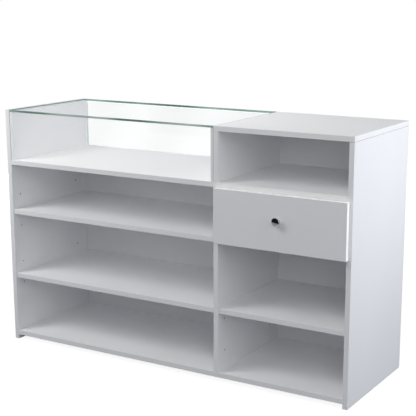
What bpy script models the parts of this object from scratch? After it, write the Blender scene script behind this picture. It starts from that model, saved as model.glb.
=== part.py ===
"""Display counter with a glass showcase, open shelves and one drawer, for the staff side of a shop.

Metres, +Z up. The staff side faces -Y and the customer side +Y. Pieces are laid out in the counter's own
coordinates: X from the left outer face, Y from the front edges of the carcass, Z from the floor.
"""

import math

import bmesh
import bpy
from mathutils import Matrix, Vector

# Overall size
WIDTH = 1.500
DEPTH = 0.488
HEIGHT = 0.950

# Boards
BOARD = 0.019
BACK_BOARD = 0.018
ARRIS = 0.0008
HAIRLINE = 0.0003

# Layout of the bays
FLOOR_GAP = 0.018
RIGHT_BAY = 0.500
SHOWCASE_HEIGHT = 0.200
LEFT_UPPER_SHELF_TOP = 0.5485
LEFT_LOWER_SHELF_TOP = 0.2825
RIGHT_SHELF_TOP = 0.2825
SHELF_SETBACK = 0.004
SHELF_PLAY = 0.001

# Shelf pins, and the rows of holes that they stand in
PIN_RADIUS = 0.0025
PIN_HEAD_RADIUS = 0.0035
PIN_HEAD_LENGTH = 0.008
PIN_CHAMFER = 0.0005
PIN_FRONT_INSET = 0.048
PIN_REAR_INSET = 0.067
HOLE_WALL = 0.003
SPARE_HOLES_LEFT = (0.235, 0.323, 0.475, 0.605)
SPARE_HOLES_RIGHT = (0.111, 0.235)

# Glass showcase
LINING = 0.012
LINING_SETBACK = 0.002
GLASS_TOP = 0.008
GLASS_TOP_PLAY = 0.0008
GLASS_REAR = 0.006
GLASS_REAR_INSET = 0.008
GLASS_GROOVE_PLAY = 0.0004
GLASS_DECK_GROOVE = 0.003
GLASS_ARRIS = 0.0006

# Drawer front and box
DRAWER_FRONT_HEIGHT = 0.200
DRAWER_FRONT_OVERLAY = 0.008
DRAWER_FRONT_RISE = 0.001
DRAWER_FRONT_GAP = 0.002
DRAWER_BOARD = 0.012
DRAWER_BOX_HEIGHT = 0.140
DRAWER_REAR_GAP = 0.028
DRAWER_BOTTOM = 0.004
DRAWER_BOTTOM_RISE = 0.010
DRAWER_GROOVE_PLAY = 0.0003
BUMPER_RADIUS = 0.0032
BUMPER_DROP = 0.030

# Roller runners of the drawer
RUNNER_SPACE = 0.0125
RUNNER_STEEL = 0.0012
RUNNER_RISE = 0.012
RUNNER_SETBACK = 0.002
RUNNER_REAR_GAP = 0.018
RUNNER_LIP = 0.002
RUNNER_UNDER_SIDE = 0.010
RUNNER_SIDE_PLAY = 0.0006
RUNNER_OVER_PLAY = 0.0008
RUNNER_SCREW_HOLE = 0.0022
RUNNER_SCREW_DROP = 0.0045
RUNNER_SCREWS = (0.072, 0.225, 0.378)
ROLLER_RADIUS = 0.0095
ROLLER_TREAD_ROUND = 0.0012
ROLLER_TOP_PLAY = 0.0007
ROLLER_INSET = 0.018
ROLLER_OVERLAP = 0.080
STOP_DROP = 0.006
STOP_GAP = 0.0005
AXLE_RADIUS = 0.0025
AXLE_HEAD_RADIUS = 0.0042
AXLE_HEAD = 0.001

# Knob and its screw
KNOB_RADIUS = 0.016
KNOB_LENGTH = 0.020
KNOB_DOME = 0.0035
KNOB_RIM = 0.0030
KNOB_NECK_RADIUS = 0.0058
KNOB_BASE_RADIUS = 0.0085
KNOB_BASE = 0.003
KNOB_RISE = 0.010
SCREW_RADIUS = 0.002
SCREW_HEAD_RADIUS = 0.0042
SCREW_HEAD = 0.0024
SCREW_ENGAGEMENT = 0.010

# How finely round pieces are faceted
PIN_SIDES = 12
ROLLER_SIDES = 28
KNOB_SIDES = 36
ARC_STEPS = 6
SMALL_ARC_STEPS = 3
SHARP_ANGLE = math.radians(35)
OVERCUT = 0.002
WELD = 1e-6

# Planes and levels that follow from the sizes above
divider_right = WIDTH - BOARD - RIGHT_BAY
divider_left = divider_right - BOARD
right_wall = WIDTH - BOARD
back_face = DEPTH - BACK_BOARD
bottom_top = FLOOR_GAP + BOARD
deck_top = HEIGHT - SHOWCASE_HEIGHT
deck_under = deck_top - BOARD
top_under = HEIGHT - BOARD
glass_under = HEIGHT - GLASS_TOP
glass_rear_face = DEPTH - GLASS_REAR_INSET
hole_depth = (BOARD - HOLE_WALL) / 2

front_back_face = -DRAWER_FRONT_GAP
front_face = front_back_face - BOARD
front_top = deck_under + DRAWER_FRONT_RISE
front_bottom = front_top - DRAWER_FRONT_HEIGHT
bay_middle = (divider_right + right_wall) / 2
knob_height = (front_top + front_bottom) / 2 + KNOB_RISE
front_reach = KNOB_LENGTH - front_face

# Heights on the runners, from their underside
channel_height = 2 * RUNNER_STEEL + HAIRLINE + 2 * ROLLER_RADIUS + ROLLER_TOP_PLAY
drawer_flange = channel_height + RUNNER_OVER_PLAY
front_roller_rise = drawer_flange - HAIRLINE - ROLLER_RADIUS
rear_roller_rise = RUNNER_STEEL + HAIRLINE + ROLLER_RADIUS

# Distances out from the wall of the bay, across the runner space
web_face = HAIRLINE + RUNNER_STEEL
drawer_web = RUNNER_SPACE - HAIRLINE - RUNNER_STEEL
flange_reach = drawer_web - RUNNER_SIDE_PLAY
rear_roller_start = web_face + 2 * HAIRLINE + AXLE_HEAD
roller_width = flange_reach - RUNNER_STEEL - HAIRLINE - rear_roller_start
front_roller_start = web_face + HAIRLINE

# Places along the runners
runner_under = front_bottom + RUNNER_RISE
runner_front = RUNNER_SETBACK
runner_back = back_face - RUNNER_REAR_GAP
box_front = front_back_face + HAIRLINE
box_back = back_face - DRAWER_REAR_GAP
box_under = runner_under + RUNNER_STEEL + HAIRLINE
box_top = box_under + DRAWER_BOX_HEIGHT
box_left = divider_right + RUNNER_SPACE
box_right = right_wall - RUNNER_SPACE
front_roller_y = runner_front + ROLLER_INSET
rear_roller_y = box_back - ROLLER_INSET
travel = rear_roller_y - front_roller_y - ROLLER_OVERLAP
stop_y = front_roller_y + ROLLER_OVERLAP - ROLLER_RADIUS - STOP_GAP


def fresh_collection(name):
    """A new collection of this name in the scene."""
    made = bpy.data.collections.new(name)
    bpy.context.scene.collection.children.link(made)
    return made


def clear_scene():
    """Remove every object that the file starts with."""
    for old in list(bpy.data.objects):
        bpy.data.objects.remove(old)


clear_scene()
PARTS = fresh_collection("display_counter")
CUTTERS = fresh_collection("cutters")


def finish(name, colour, roughness, metallic=0.0, alpha=1.0):
    """A Principled BSDF material for one kind of surface."""
    made = bpy.data.materials.new(name)
    made.use_nodes = True
    shader = made.node_tree.nodes["Principled BSDF"]
    shader.inputs["Base Color"].default_value = (*colour, 1.0)
    shader.inputs["Roughness"].default_value = roughness
    shader.inputs["Metallic"].default_value = metallic
    shader.inputs["Alpha"].default_value = alpha
    return made


MELAMINE = finish("white_melamine", (0.82, 0.82, 0.83), 0.45)
DRAWER_FOIL = finish("drawer_foil", (0.78, 0.78, 0.79), 0.5)
FLOAT_GLASS = finish("float_glass", (0.80, 0.90, 0.86), 0.02, alpha=0.3)
CHROME = finish("polished_chrome", (0.75, 0.75, 0.77), 0.08, metallic=1.0)
EPOXY_STEEL = finish("epoxy_coated_steel", (0.80, 0.80, 0.79), 0.4)
ZINC_STEEL = finish("zinc_plated_steel", (0.62, 0.63, 0.64), 0.3, metallic=1.0)
NYLON = finish("nylon", (0.70, 0.70, 0.68), 0.5)
CLEAR_RUBBER = finish("clear_rubber", (0.75, 0.75, 0.73), 0.4, alpha=0.6)


def empty(name, at, parent=None):
    """An empty that pieces hang from, placed in the counter's coordinates."""
    made = bpy.data.objects.new(name, None)
    made.empty_display_size = 0.05
    PARTS.objects.link(made)
    made["counter_place"] = at
    place(made, at, parent)
    return made


def place(made, at, parent):
    """Put an object at a point of the counter's coordinates, under its parent."""
    made.parent = parent
    start = Vector(parent["counter_place"]) if parent else Vector((0, 0, 0))
    made.location = Vector(at) - start


def add_object(name, shape, at, parent, turn=(0, 0, 0), surface=None):
    """A part with its surface, or a wire-drawn cutter when it has none."""
    made = bpy.data.objects.new(name, shape)
    made.rotation_euler = turn
    place(made, at, parent)
    if surface:
        PARTS.objects.link(made)
        made.data.materials.append(surface)
    else:
        CUTTERS.objects.link(made)
        made.hide_render = True
        made.display_type = "WIRE"
    return made


def mesh_from(name, work):
    """The bmesh as a mesh that is shaded smooth apart from its sharp edges."""
    shape = bpy.data.meshes.new(name)
    work.to_mesh(shape)
    work.free()
    shape.shade_smooth()
    shape.set_sharp_from_angle(angle=SHARP_ANGLE)
    return shape


def box_mesh(name, low, high):
    """A box of the size between two corners, about its own centre."""
    work = bmesh.new()
    bmesh.ops.create_cube(work, size=1.0)
    size = [h - l for l, h in zip(low, high)]
    bmesh.ops.scale(work, vec=size, verts=work.verts)
    return mesh_from(name, work)


def middle(low, high):
    """The centre of a box."""
    return [(l + h) / 2 for l, h in zip(low, high)]


def board(name, low, high, parent, surface, arris=ARRIS):
    """A flat panel between two corners, with its edges slightly rounded."""
    made = add_object(name, box_mesh(name, low, high), middle(low, high), parent, surface=surface)
    soft = made.modifiers.new("Arris", "BEVEL")
    soft.width = arris
    soft.segments = 2
    soft.limit_method = "NONE"
    return made


def box_cutter(name, low, high, parent):
    """A box that is cut away from a part, or joined to one."""
    return add_object(name, box_mesh(name, low, high), middle(low, high), parent)


def drill(name, starts, direction, radius, depth, parent):
    """A cutter of round holes that run from each starting point along one direction."""
    work = bmesh.new()
    along = Vector(direction)
    upright = along.to_track_quat("Z", "Y").to_matrix().to_4x4()
    origin = Vector(parent["counter_place"])
    for start in starts:
        centre = Vector(start) - origin + along * (depth - OVERCUT) / 2
        bmesh.ops.create_cone(
            work,
            cap_ends=True,
            segments=PIN_SIDES,
            radius1=radius,
            radius2=radius,
            depth=depth + OVERCUT,
            matrix=Matrix.Translation(centre) @ upright,
        )
    return add_object(name, mesh_from(name, work), origin, parent)


def combine(made, other, operation="DIFFERENCE"):
    """Cut one object from a part, or join it to the part."""
    step = made.modifiers.new(other.name, "BOOLEAN")
    step.object = other
    step.operation = operation
    step.solver = "EXACT"


def realised(made, surface):
    """Replace an object by the mesh that its curve or modifiers make."""
    graph = bpy.context.evaluated_depsgraph_get()
    shape = bpy.data.meshes.new_from_object(made.evaluated_get(graph))
    name = made.name
    parent, at, turn = made.parent, made.location.copy(), made.rotation_euler.copy()
    bpy.data.objects.remove(made)
    work = bmesh.new()
    work.from_mesh(shape)
    bmesh.ops.remove_doubles(work, verts=work.verts, dist=WELD)
    bmesh.ops.recalc_face_normals(work, faces=work.faces)
    solid = bpy.data.objects.new(name, mesh_from(name, work))
    solid.parent, solid.location, solid.rotation_euler = parent, at, turn
    PARTS.objects.link(solid)
    solid.data.materials.clear()
    solid.data.materials.append(surface)
    return solid


def turned(name, profile, at, parent, turn, sides, surface, ring=False):
    """A turned piece from (radius, height) points, top to bottom down its outer side."""
    work = bmesh.new()
    points = [work.verts.new((radius, 0, height)) for radius, height in profile]
    for first, second in zip(points, points[1:]):
        work.edges.new((first, second))
    if ring:
        work.edges.new((points[-1], points[0]))
    shape = bpy.data.meshes.new(name)
    work.to_mesh(shape)
    work.free()
    made = add_object(name, shape, at, parent, turn, surface)
    screw = made.modifiers.new("Turn", "SCREW")
    screw.angle = math.tau
    screw.steps = sides
    screw.render_steps = sides
    screw.use_merge_vertices = True
    screw.merge_threshold = WELD
    return realised(made, surface)


def extruded(name, outline, length, at, parent, surface):
    """A rolled section: an outline in X and Z, drawn out along Y about its place."""
    curve = bpy.data.curves.new(name, "CURVE")
    curve.dimensions = "2D"
    curve.fill_mode = "BOTH"
    curve.extrude = length / 2
    spline = curve.splines.new("POLY")
    spline.points.add(len(outline) - 1)
    for point, (across, up) in zip(spline.points, outline):
        point.co = (across, up, 0, 1)
    spline.use_cyclic_u = True
    made = add_object(name, curve, at, parent, (math.pi / 2, 0, 0), surface)
    return realised(made, surface)


def arc(centre, radii, start, end, steps=ARC_STEPS):
    """Points along an arc of an ellipse, given by its centre, two radii and two angles in degrees."""
    angles = [math.radians(start + (end - start) * i / steps) for i in range(steps + 1)]
    return [(centre[0] + radii[0] * math.cos(a), centre[1] + radii[1] * math.sin(a)) for a in angles]


# The counter stands on the floor with its outline centred over the origin
counter = empty("counter", (-WIDTH / 2, -(DEPTH - front_reach) / 2, 0))
counter["counter_place"] = (0, 0, 0)
drawer = empty("drawer_slide", (bay_middle, front_back_face, runner_under), counter)


def carcass():
    """Side panels, floor, deck, dividers, top and back of white board."""
    board("left_side_panel", (0, 0, 0), (BOARD, DEPTH, HEIGHT), counter, MELAMINE)
    right_low = (right_wall, 0, 0)
    right_high = (WIDTH, DEPTH, top_under - HAIRLINE)
    board("right_side_panel", right_low, right_high, counter, MELAMINE)
    inner_left = BOARD + HAIRLINE
    inner_right = right_wall - HAIRLINE
    bottom_low = (inner_left, 0, FLOOR_GAP)
    bottom_high = (inner_right, back_face - HAIRLINE, bottom_top)
    board("bottom_panel", bottom_low, bottom_high, counter, MELAMINE)
    deck_low = (inner_left, 0, deck_under)
    board("deck_panel", deck_low, (inner_right, DEPTH, deck_top), counter, MELAMINE)
    divider_low = (divider_left, 0, bottom_top + HAIRLINE)
    divider_high = (divider_right, back_face - HAIRLINE, deck_under - HAIRLINE)
    board("lower_divider", divider_low, divider_high, counter, MELAMINE)
    upper_low = (divider_left, 0, deck_top + HAIRLINE)
    upper_high = (divider_right, DEPTH, top_under - HAIRLINE)
    board("upper_divider", upper_low, upper_high, counter, MELAMINE)
    board("top_panel", (divider_left, 0, top_under), (WIDTH, DEPTH, HEIGHT), counter, MELAMINE)
    back_high = (inner_right, DEPTH, deck_under - HAIRLINE)
    board("lower_back_panel", (inner_left, back_face, 0), back_high, counter, MELAMINE)
    cell_low = (divider_right + HAIRLINE, back_face, deck_top + HAIRLINE)
    cell_high = (inner_right, DEPTH, top_under - HAIRLINE)
    board("upper_back_panel", cell_low, cell_high, counter, MELAMINE)


def showcase():
    """Two linings that carry the glass, with a rear pane let into grooves and a top pane laid over them."""
    left_face = BOARD + HAIRLINE
    right_face = divider_left - HAIRLINE
    left_inner = left_face + LINING
    right_inner = right_face - LINING
    low_z = deck_top + HAIRLINE
    high_z = glass_under - HAIRLINE
    groove_depth = LINING / 2
    pane_front = glass_rear_face - GLASS_REAR
    groove_front = pane_front - GLASS_GROOVE_PLAY
    groove_back = glass_rear_face + GLASS_GROOVE_PLAY
    sides = {
        "left": (left_face, left_inner, left_inner - groove_depth, left_inner + OVERCUT),
        "right": (right_inner, right_face, right_inner - OVERCUT, right_inner + groove_depth),
    }
    for side, (low_x, high_x, cut_low, cut_high) in sides.items():
        low = (low_x, LINING_SETBACK, low_z)
        lining = board(f"showcase_lining_{side}", low, (high_x, DEPTH, high_z), counter, MELAMINE)
        groove_low = (cut_low, groove_front, low_z - OVERCUT)
        groove_high = (cut_high, groove_back, high_z + OVERCUT)
        combine(lining, box_cutter(f"pane_groove_{side}", groove_low, groove_high, counter))

    deck_groove_low = (left_inner - groove_depth, groove_front, deck_top - GLASS_DECK_GROOVE)
    deck_groove_high = (right_inner + groove_depth, groove_back, deck_top + OVERCUT)
    deck_groove = box_cutter("pane_groove_deck", deck_groove_low, deck_groove_high, counter)
    combine(bpy.data.objects["deck_panel"], deck_groove)

    pane_left = left_inner - groove_depth + GLASS_GROOVE_PLAY
    pane_right = right_inner + groove_depth - GLASS_GROOVE_PLAY
    pane_low = (pane_left, pane_front, deck_top - GLASS_DECK_GROOVE + HAIRLINE)
    pane_high = (pane_right, glass_rear_face, high_z)
    board("glass_rear", pane_low, pane_high, counter, FLOAT_GLASS, GLASS_ARRIS)
    top_low = (BOARD + GLASS_TOP_PLAY, 0, glass_under)
    top_high = (divider_left - GLASS_TOP_PLAY, DEPTH, HEIGHT)
    board("glass_top", top_low, top_high, counter, FLOAT_GLASS, GLASS_ARRIS)


def pin_height(shelf_top):
    """The height of a shelf's pins, whose heads its underside rests on."""
    return shelf_top - BOARD - HAIRLINE - PIN_HEAD_RADIUS


def shelf(name, wall_left, wall_right, top):
    """A loose shelf on four pins."""
    low = (wall_left + SHELF_PLAY, SHELF_SETBACK, top - BOARD)
    high = (wall_right - SHELF_PLAY, back_face - SHELF_PLAY, top)
    board(name, low, high, counter, MELAMINE)
    pin_end = HAIRLINE - hole_depth
    profile = (
        (0, PIN_HEAD_LENGTH),
        (PIN_HEAD_RADIUS - PIN_CHAMFER, PIN_HEAD_LENGTH),
        (PIN_HEAD_RADIUS, PIN_HEAD_LENGTH - PIN_CHAMFER),
        (PIN_HEAD_RADIUS, HAIRLINE),
        (PIN_RADIUS, HAIRLINE),
        (PIN_RADIUS, pin_end + PIN_CHAMFER),
        (PIN_RADIUS - PIN_CHAMFER, pin_end),
        (0, pin_end),
    )
    for side, wall, lean in (("left", wall_left, 1), ("right", wall_right, -1)):
        for row, y in (("front", PIN_FRONT_INSET), ("rear", back_face - PIN_REAR_INSET)):
            at = (wall, y, pin_height(top))
            turn = (0, lean * math.pi / 2, 0)
            turned(f"{name}_pin_{row}_{side}", profile, at, counter, turn, PIN_SIDES, ZINC_STEEL)


def pin_holes(panel, wall, direction, heights, kind):
    """Two columns of blind holes in one face of a panel."""
    columns = (PIN_FRONT_INSET, back_face - PIN_REAR_INSET)
    starts = [(wall, y, z) for y in columns for z in heights]
    radius = PIN_RADIUS + HAIRLINE
    holes = drill(f"{panel}_{kind}_holes", starts, (direction, 0, 0), radius, hole_depth, counter)
    combine(bpy.data.objects[panel], holes)


def shelves():
    """Three shelves, with their pins and the holes that let them be moved."""
    shelf("left_upper_shelf", BOARD, divider_left, LEFT_UPPER_SHELF_TOP)
    shelf("left_lower_shelf", BOARD, divider_left, LEFT_LOWER_SHELF_TOP)
    shelf("right_shelf", divider_right, right_wall, RIGHT_SHELF_TOP)
    left_pins = [pin_height(LEFT_UPPER_SHELF_TOP), pin_height(LEFT_LOWER_SHELF_TOP)]
    right_pins = [pin_height(RIGHT_SHELF_TOP)]
    for panel, wall, direction in (("left_side_panel", BOARD, -1), ("lower_divider", divider_left, 1)):
        pin_holes(panel, wall, direction, left_pins, "left_pin")
        pin_holes(panel, wall, direction, SPARE_HOLES_LEFT, "left_spare")
    for panel, wall, direction in (("lower_divider", divider_right, -1), ("right_side_panel", right_wall, 1)):
        pin_holes(panel, wall, direction, right_pins, "right_pin")
        pin_holes(panel, wall, direction, SPARE_HOLES_RIGHT, "right_spare")


def drawer_box():
    """The drawer's front, and a box of four boards round a bottom held in grooves."""
    front_low = (divider_right - DRAWER_FRONT_OVERLAY, front_face, front_bottom)
    front_high = (right_wall + DRAWER_FRONT_OVERLAY, front_back_face, front_top)
    board("drawer_front", front_low, front_high, drawer, MELAMINE)

    inner_left = box_left + DRAWER_BOARD
    inner_right = box_right - DRAWER_BOARD
    inner_front = box_front + DRAWER_BOARD
    inner_back = box_back - DRAWER_BOARD
    walls = {
        "drawer_side_left": ((box_left, box_front), (inner_left, box_back)),
        "drawer_side_right": ((inner_right, box_front), (box_right, box_back)),
        "drawer_box_front": ((inner_left + HAIRLINE, box_front), (inner_right - HAIRLINE, inner_front)),
        "drawer_box_back": ((inner_left + HAIRLINE, inner_back), (inner_right - HAIRLINE, box_back)),
    }
    groove = DRAWER_BOARD / 2
    bottom_under = box_under + DRAWER_BOTTOM_RISE
    bottom_over = bottom_under + DRAWER_BOTTOM
    groove_low = (inner_left - groove, inner_front - groove, bottom_under - DRAWER_GROOVE_PLAY)
    groove_high = (inner_right + groove, inner_back + groove, bottom_over + DRAWER_GROOVE_PLAY)
    bottom_groove = box_cutter("drawer_bottom_groove", groove_low, groove_high, drawer)
    for name, (low, high) in walls.items():
        wall = board(name, (*low, box_under), (*high, box_top), drawer, DRAWER_FOIL)
        combine(wall, bottom_groove)

    play = DRAWER_GROOVE_PLAY
    bottom_low = (inner_left - groove + play, inner_front - groove + play, bottom_under)
    bottom_high = (inner_right + groove - play, inner_back + groove - play, bottom_over)
    board("drawer_bottom", bottom_low, bottom_high, drawer, DRAWER_FOIL, arris=ARRIS / 2)


def drawer_bumpers():
    """Soft dots that keep the closed front off the carcass edges."""
    thickness = DRAWER_FRONT_GAP - HAIRLINE
    waist = thickness / 2
    dome = arc((BUMPER_RADIUS - waist, waist), (waist, waist), 90, 0, SMALL_ARC_STEPS)
    profile = [(0, thickness), *dome, (BUMPER_RADIUS, HAIRLINE), (0, HAIRLINE)]
    places = {
        "left": divider_right - DRAWER_FRONT_OVERLAY / 2,
        "right": right_wall + DRAWER_FRONT_OVERLAY / 2,
    }
    for side, x in places.items():
        at = (x, front_back_face, front_top - BUMPER_DROP)
        turned(f"drawer_bumper_{side}", profile, at, drawer, (-math.pi / 2, 0, 0), PIN_SIDES, CLEAR_RUBBER)


def knob():
    """A domed knob on a waisted stem, held by a screw from inside the drawer."""
    rim_top = KNOB_LENGTH - KNOB_DOME
    rim_low = rim_top - KNOB_RIM
    cap_radius = (KNOB_RADIUS**2 + KNOB_DOME**2) / (2 * KNOB_DOME)
    spread = math.degrees(math.asin(KNOB_RADIUS / cap_radius))
    cap = arc((0, KNOB_LENGTH - cap_radius), (cap_radius, cap_radius), 90, 90 - spread)
    under = arc((KNOB_RADIUS, KNOB_BASE), (KNOB_RADIUS - KNOB_NECK_RADIUS, rim_low - KNOB_BASE), 90, 180)
    bore = SCREW_RADIUS + HAIRLINE
    bore_end = SCREW_ENGAGEMENT + HAIRLINE
    profile = [(0, KNOB_LENGTH), *cap[1:], *under]
    profile += [(KNOB_BASE_RADIUS, KNOB_BASE / 2), (KNOB_BASE_RADIUS, HAIRLINE)]
    profile += [(bore, HAIRLINE), (bore, bore_end), (0, bore_end)]
    facing_out = (math.pi / 2, 0, 0)
    at = (bay_middle, front_face, knob_height)
    turned("drawer_knob", profile, at, drawer, facing_out, KNOB_SIDES, CHROME)

    head_seat = box_front + DRAWER_BOARD
    shank = head_seat - front_face + SCREW_ENGAGEMENT
    half_head = SCREW_HEAD / 2
    head_middle = (SCREW_HEAD_RADIUS - half_head, -HAIRLINE - half_head)
    head_round = arc(head_middle, (half_head, half_head), 0, -90, SMALL_ARC_STEPS)
    screw = [(0, shank), (SCREW_RADIUS, shank), (SCREW_RADIUS, -HAIRLINE), (SCREW_HEAD_RADIUS, -HAIRLINE)]
    screw += [*head_round, (0, -HAIRLINE - SCREW_HEAD)]
    at = (bay_middle, head_seat, knob_height)
    turned("knob_screw", screw, at, drawer, facing_out, PIN_SIDES, ZINC_STEEL)
    through = BOARD + DRAWER_BOARD + 2 * OVERCUT
    hole = drill("knob_screw_hole", [at], (0, -1, 0), SCREW_RADIUS + HAIRLINE, through, drawer)
    combine(bpy.data.objects["drawer_front"], hole)
    combine(bpy.data.objects["drawer_box_front"], hole)


def cabinet_runner(side, wall, lean):
    """A channel on the wall of the bay, whose floor the rear roller runs on."""
    steel = RUNNER_STEEL
    lip = steel + RUNNER_LIP
    section = (
        (HAIRLINE, 0),
        (flange_reach, 0),
        (flange_reach, lip),
        (flange_reach - steel, lip),
        (flange_reach - steel, steel),
        (web_face, steel),
        (web_face, channel_height - steel),
        (flange_reach, channel_height - steel),
        (flange_reach, channel_height),
        (HAIRLINE, channel_height),
    )
    outline = [(lean * across, up) for across, up in section]
    at = (wall, (runner_front + runner_back) / 2, runner_under)
    name = f"cabinet_runner_{side}"
    made = extruded(name, outline, runner_back - runner_front, at, counter, EPOXY_STEEL)

    # The upper flange stops short of the front roller, and its end is bent down as a stop
    channel_top = runner_under + channel_height
    nose_low = (wall + lean * web_face, runner_front - OVERCUT, channel_top - 2 * steel)
    nose_high = (wall + lean * RUNNER_SPACE, stop_y - steel / 2, channel_top + OVERCUT)
    combine(made, box_cutter(f"{name}_nose", *ordered(nose_low, nose_high), counter))
    tab_low = (wall + lean * (web_face + HAIRLINE), stop_y - steel, channel_top - steel - STOP_DROP)
    tab_high = (wall + lean * (flange_reach - HAIRLINE), stop_y, channel_top - steel / 2)
    combine(made, box_cutter(f"{name}_stop", *ordered(tab_low, tab_high), counter), "UNION")

    mouth = wall + lean * drawer_web
    screw_row = channel_top - RUNNER_SCREW_DROP
    starts = [(mouth, runner_front + place, screw_row) for place in RUNNER_SCREWS]
    screws = drill(f"{name}_screw_holes", starts, (-lean, 0, 0), RUNNER_SCREW_HOLE, RUNNER_SPACE, counter)
    combine(made, screws)
    axle_mouth = (mouth, front_roller_y, runner_under + front_roller_rise)
    axle_hole = AXLE_RADIUS + HAIRLINE
    axle_seat = drill(f"{name}_axle_hole", [axle_mouth], (-lean, 0, 0), axle_hole, RUNNER_SPACE, counter)
    combine(made, axle_seat)


def ordered(first, second):
    """Two opposite corners of a box as its lowest and highest corner."""
    low = tuple(min(a, b) for a, b in zip(first, second))
    high = tuple(max(a, b) for a, b in zip(first, second))
    return low, high


def drawer_runner(side, wall, lean):
    """An angle under the drawer's side, whose outer flange runs on the front roller."""
    steel = RUNNER_STEEL
    web_back = drawer_web + steel
    under_reach = RUNNER_SPACE + RUNNER_UNDER_SIDE
    tip = web_face + RUNNER_SIDE_PLAY
    section = (
        (tip, drawer_flange),
        (drawer_web, drawer_flange),
        (drawer_web, 0),
        (under_reach, 0),
        (under_reach, steel),
        (web_back, steel),
        (web_back, drawer_flange + steel),
        (tip, drawer_flange + steel),
    )
    outline = [(lean * across, up) for across, up in section]
    at = (wall, (box_front + box_back) / 2, runner_under)
    name = f"drawer_runner_{side}"
    made = extruded(name, outline, box_back - box_front, at, drawer, EPOXY_STEEL)
    at = (wall, rear_roller_y, runner_under + rear_roller_rise)
    seat = drill(f"{name}_axle_hole", [at], (lean, 0, 0), AXLE_RADIUS + HAIRLINE, 2 * RUNNER_SPACE, drawer)
    combine(made, seat)


def roller(name, wall, lean, start, y, rise, parent):
    """A nylon wheel with a rounded tread, bored for its axle."""
    bore = AXLE_RADIUS + HAIRLINE
    tread = ROLLER_TREAD_ROUND
    top = start + roller_width
    upper = arc((ROLLER_RADIUS - tread, top - tread), (tread, tread), 90, 0, SMALL_ARC_STEPS)
    lower = arc((ROLLER_RADIUS - tread, start + tread), (tread, tread), 0, -90, SMALL_ARC_STEPS)
    profile = [(bore, top), *upper, *lower, (bore, start)]
    at = (wall, y, runner_under + rise)
    turn = (0, lean * math.pi / 2, 0)
    turned(name, profile, at, parent, turn, ROLLER_SIDES, NYLON, ring=True)


def axle(name, wall, lean, steps, y, rise, parent):
    """A riveted axle, given as (radius, distance from the wall) steps from its inner end to the wall."""
    profile = [(0, steps[0][1]), *steps, (0, steps[-1][1])]
    at = (wall, y, runner_under + rise)
    turned(name, profile, at, parent, (0, lean * math.pi / 2, 0), PIN_SIDES, ZINC_STEEL)


def runners():
    """A pair of roller runners: one roller fixed at the cabinet's front, one riding at the drawer's back."""
    front_head = front_roller_start + roller_width + HAIRLINE
    front_axle = (
        (AXLE_HEAD_RADIUS, front_head + AXLE_HEAD),
        (AXLE_HEAD_RADIUS, front_head),
        (AXLE_RADIUS, front_head),
        (AXLE_RADIUS, HAIRLINE),
    )
    rear_end = rear_roller_start + roller_width + HAIRLINE
    rear_axle = (
        (AXLE_RADIUS, drawer_web + RUNNER_STEEL),
        (AXLE_RADIUS, drawer_web - HAIRLINE),
        (AXLE_HEAD_RADIUS, drawer_web - HAIRLINE),
        (AXLE_HEAD_RADIUS, rear_end),
        (AXLE_RADIUS, rear_end),
        (AXLE_RADIUS, rear_roller_start - HAIRLINE),
        (AXLE_HEAD_RADIUS, rear_roller_start - HAIRLINE),
        (AXLE_HEAD_RADIUS, rear_roller_start - HAIRLINE - AXLE_HEAD),
    )
    for side, wall, lean in (("left", divider_right, 1), ("right", right_wall, -1)):
        cabinet_runner(side, wall, lean)
        drawer_runner(side, wall, lean)
        front = (front_roller_y, front_roller_rise, counter)
        rear = (rear_roller_y, rear_roller_rise, drawer)
        roller(f"front_roller_{side}", wall, lean, front_roller_start, *front)
        axle(f"front_roller_axle_{side}", wall, lean, front_axle, *front)
        roller(f"rear_roller_{side}", wall, lean, rear_roller_start, *rear)
        axle(f"rear_roller_axle_{side}", wall, lean, rear_axle, *rear)


carcass()
showcase()
shelves()
drawer_box()
drawer_bumpers()
knob()
runners()
print(f"drawer travel {travel:.4f} m")
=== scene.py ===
# %% [markdown]
# # A shop display counter with a glass showcase
#
# This lesson dresses a finished counter for its picture. The solids are already made, so nothing here
# changes a size. We load them, give each one the finish of its real material, and add what is too small
# or too smooth for the solids: ground glass panes, a turned chrome knob, screws and furniture cams.

# %% Load the imported counter
import math

import bmesh
import bpy
from mathutils import Matrix, Vector


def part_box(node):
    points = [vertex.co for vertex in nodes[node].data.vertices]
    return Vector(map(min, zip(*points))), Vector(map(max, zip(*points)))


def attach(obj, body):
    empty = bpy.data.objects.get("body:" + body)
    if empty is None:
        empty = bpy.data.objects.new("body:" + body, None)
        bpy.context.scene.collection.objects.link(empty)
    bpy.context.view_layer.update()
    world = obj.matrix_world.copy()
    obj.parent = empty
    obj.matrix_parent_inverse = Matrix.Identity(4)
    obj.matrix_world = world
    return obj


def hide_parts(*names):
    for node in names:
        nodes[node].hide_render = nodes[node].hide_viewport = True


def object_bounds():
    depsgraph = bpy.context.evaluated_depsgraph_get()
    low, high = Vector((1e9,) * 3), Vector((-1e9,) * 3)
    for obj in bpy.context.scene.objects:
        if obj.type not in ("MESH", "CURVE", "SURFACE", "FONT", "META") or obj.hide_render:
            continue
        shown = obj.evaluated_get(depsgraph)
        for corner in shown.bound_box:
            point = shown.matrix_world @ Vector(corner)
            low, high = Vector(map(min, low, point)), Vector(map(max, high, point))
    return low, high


MM = 0.001  # lengths are in metres

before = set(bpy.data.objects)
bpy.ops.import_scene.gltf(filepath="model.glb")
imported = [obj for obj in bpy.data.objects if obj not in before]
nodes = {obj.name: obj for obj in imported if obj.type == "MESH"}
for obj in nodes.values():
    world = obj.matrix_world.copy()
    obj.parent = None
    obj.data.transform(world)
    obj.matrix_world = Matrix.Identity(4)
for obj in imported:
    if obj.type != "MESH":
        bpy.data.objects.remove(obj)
cad_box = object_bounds()
scene = bpy.context.scene

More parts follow.
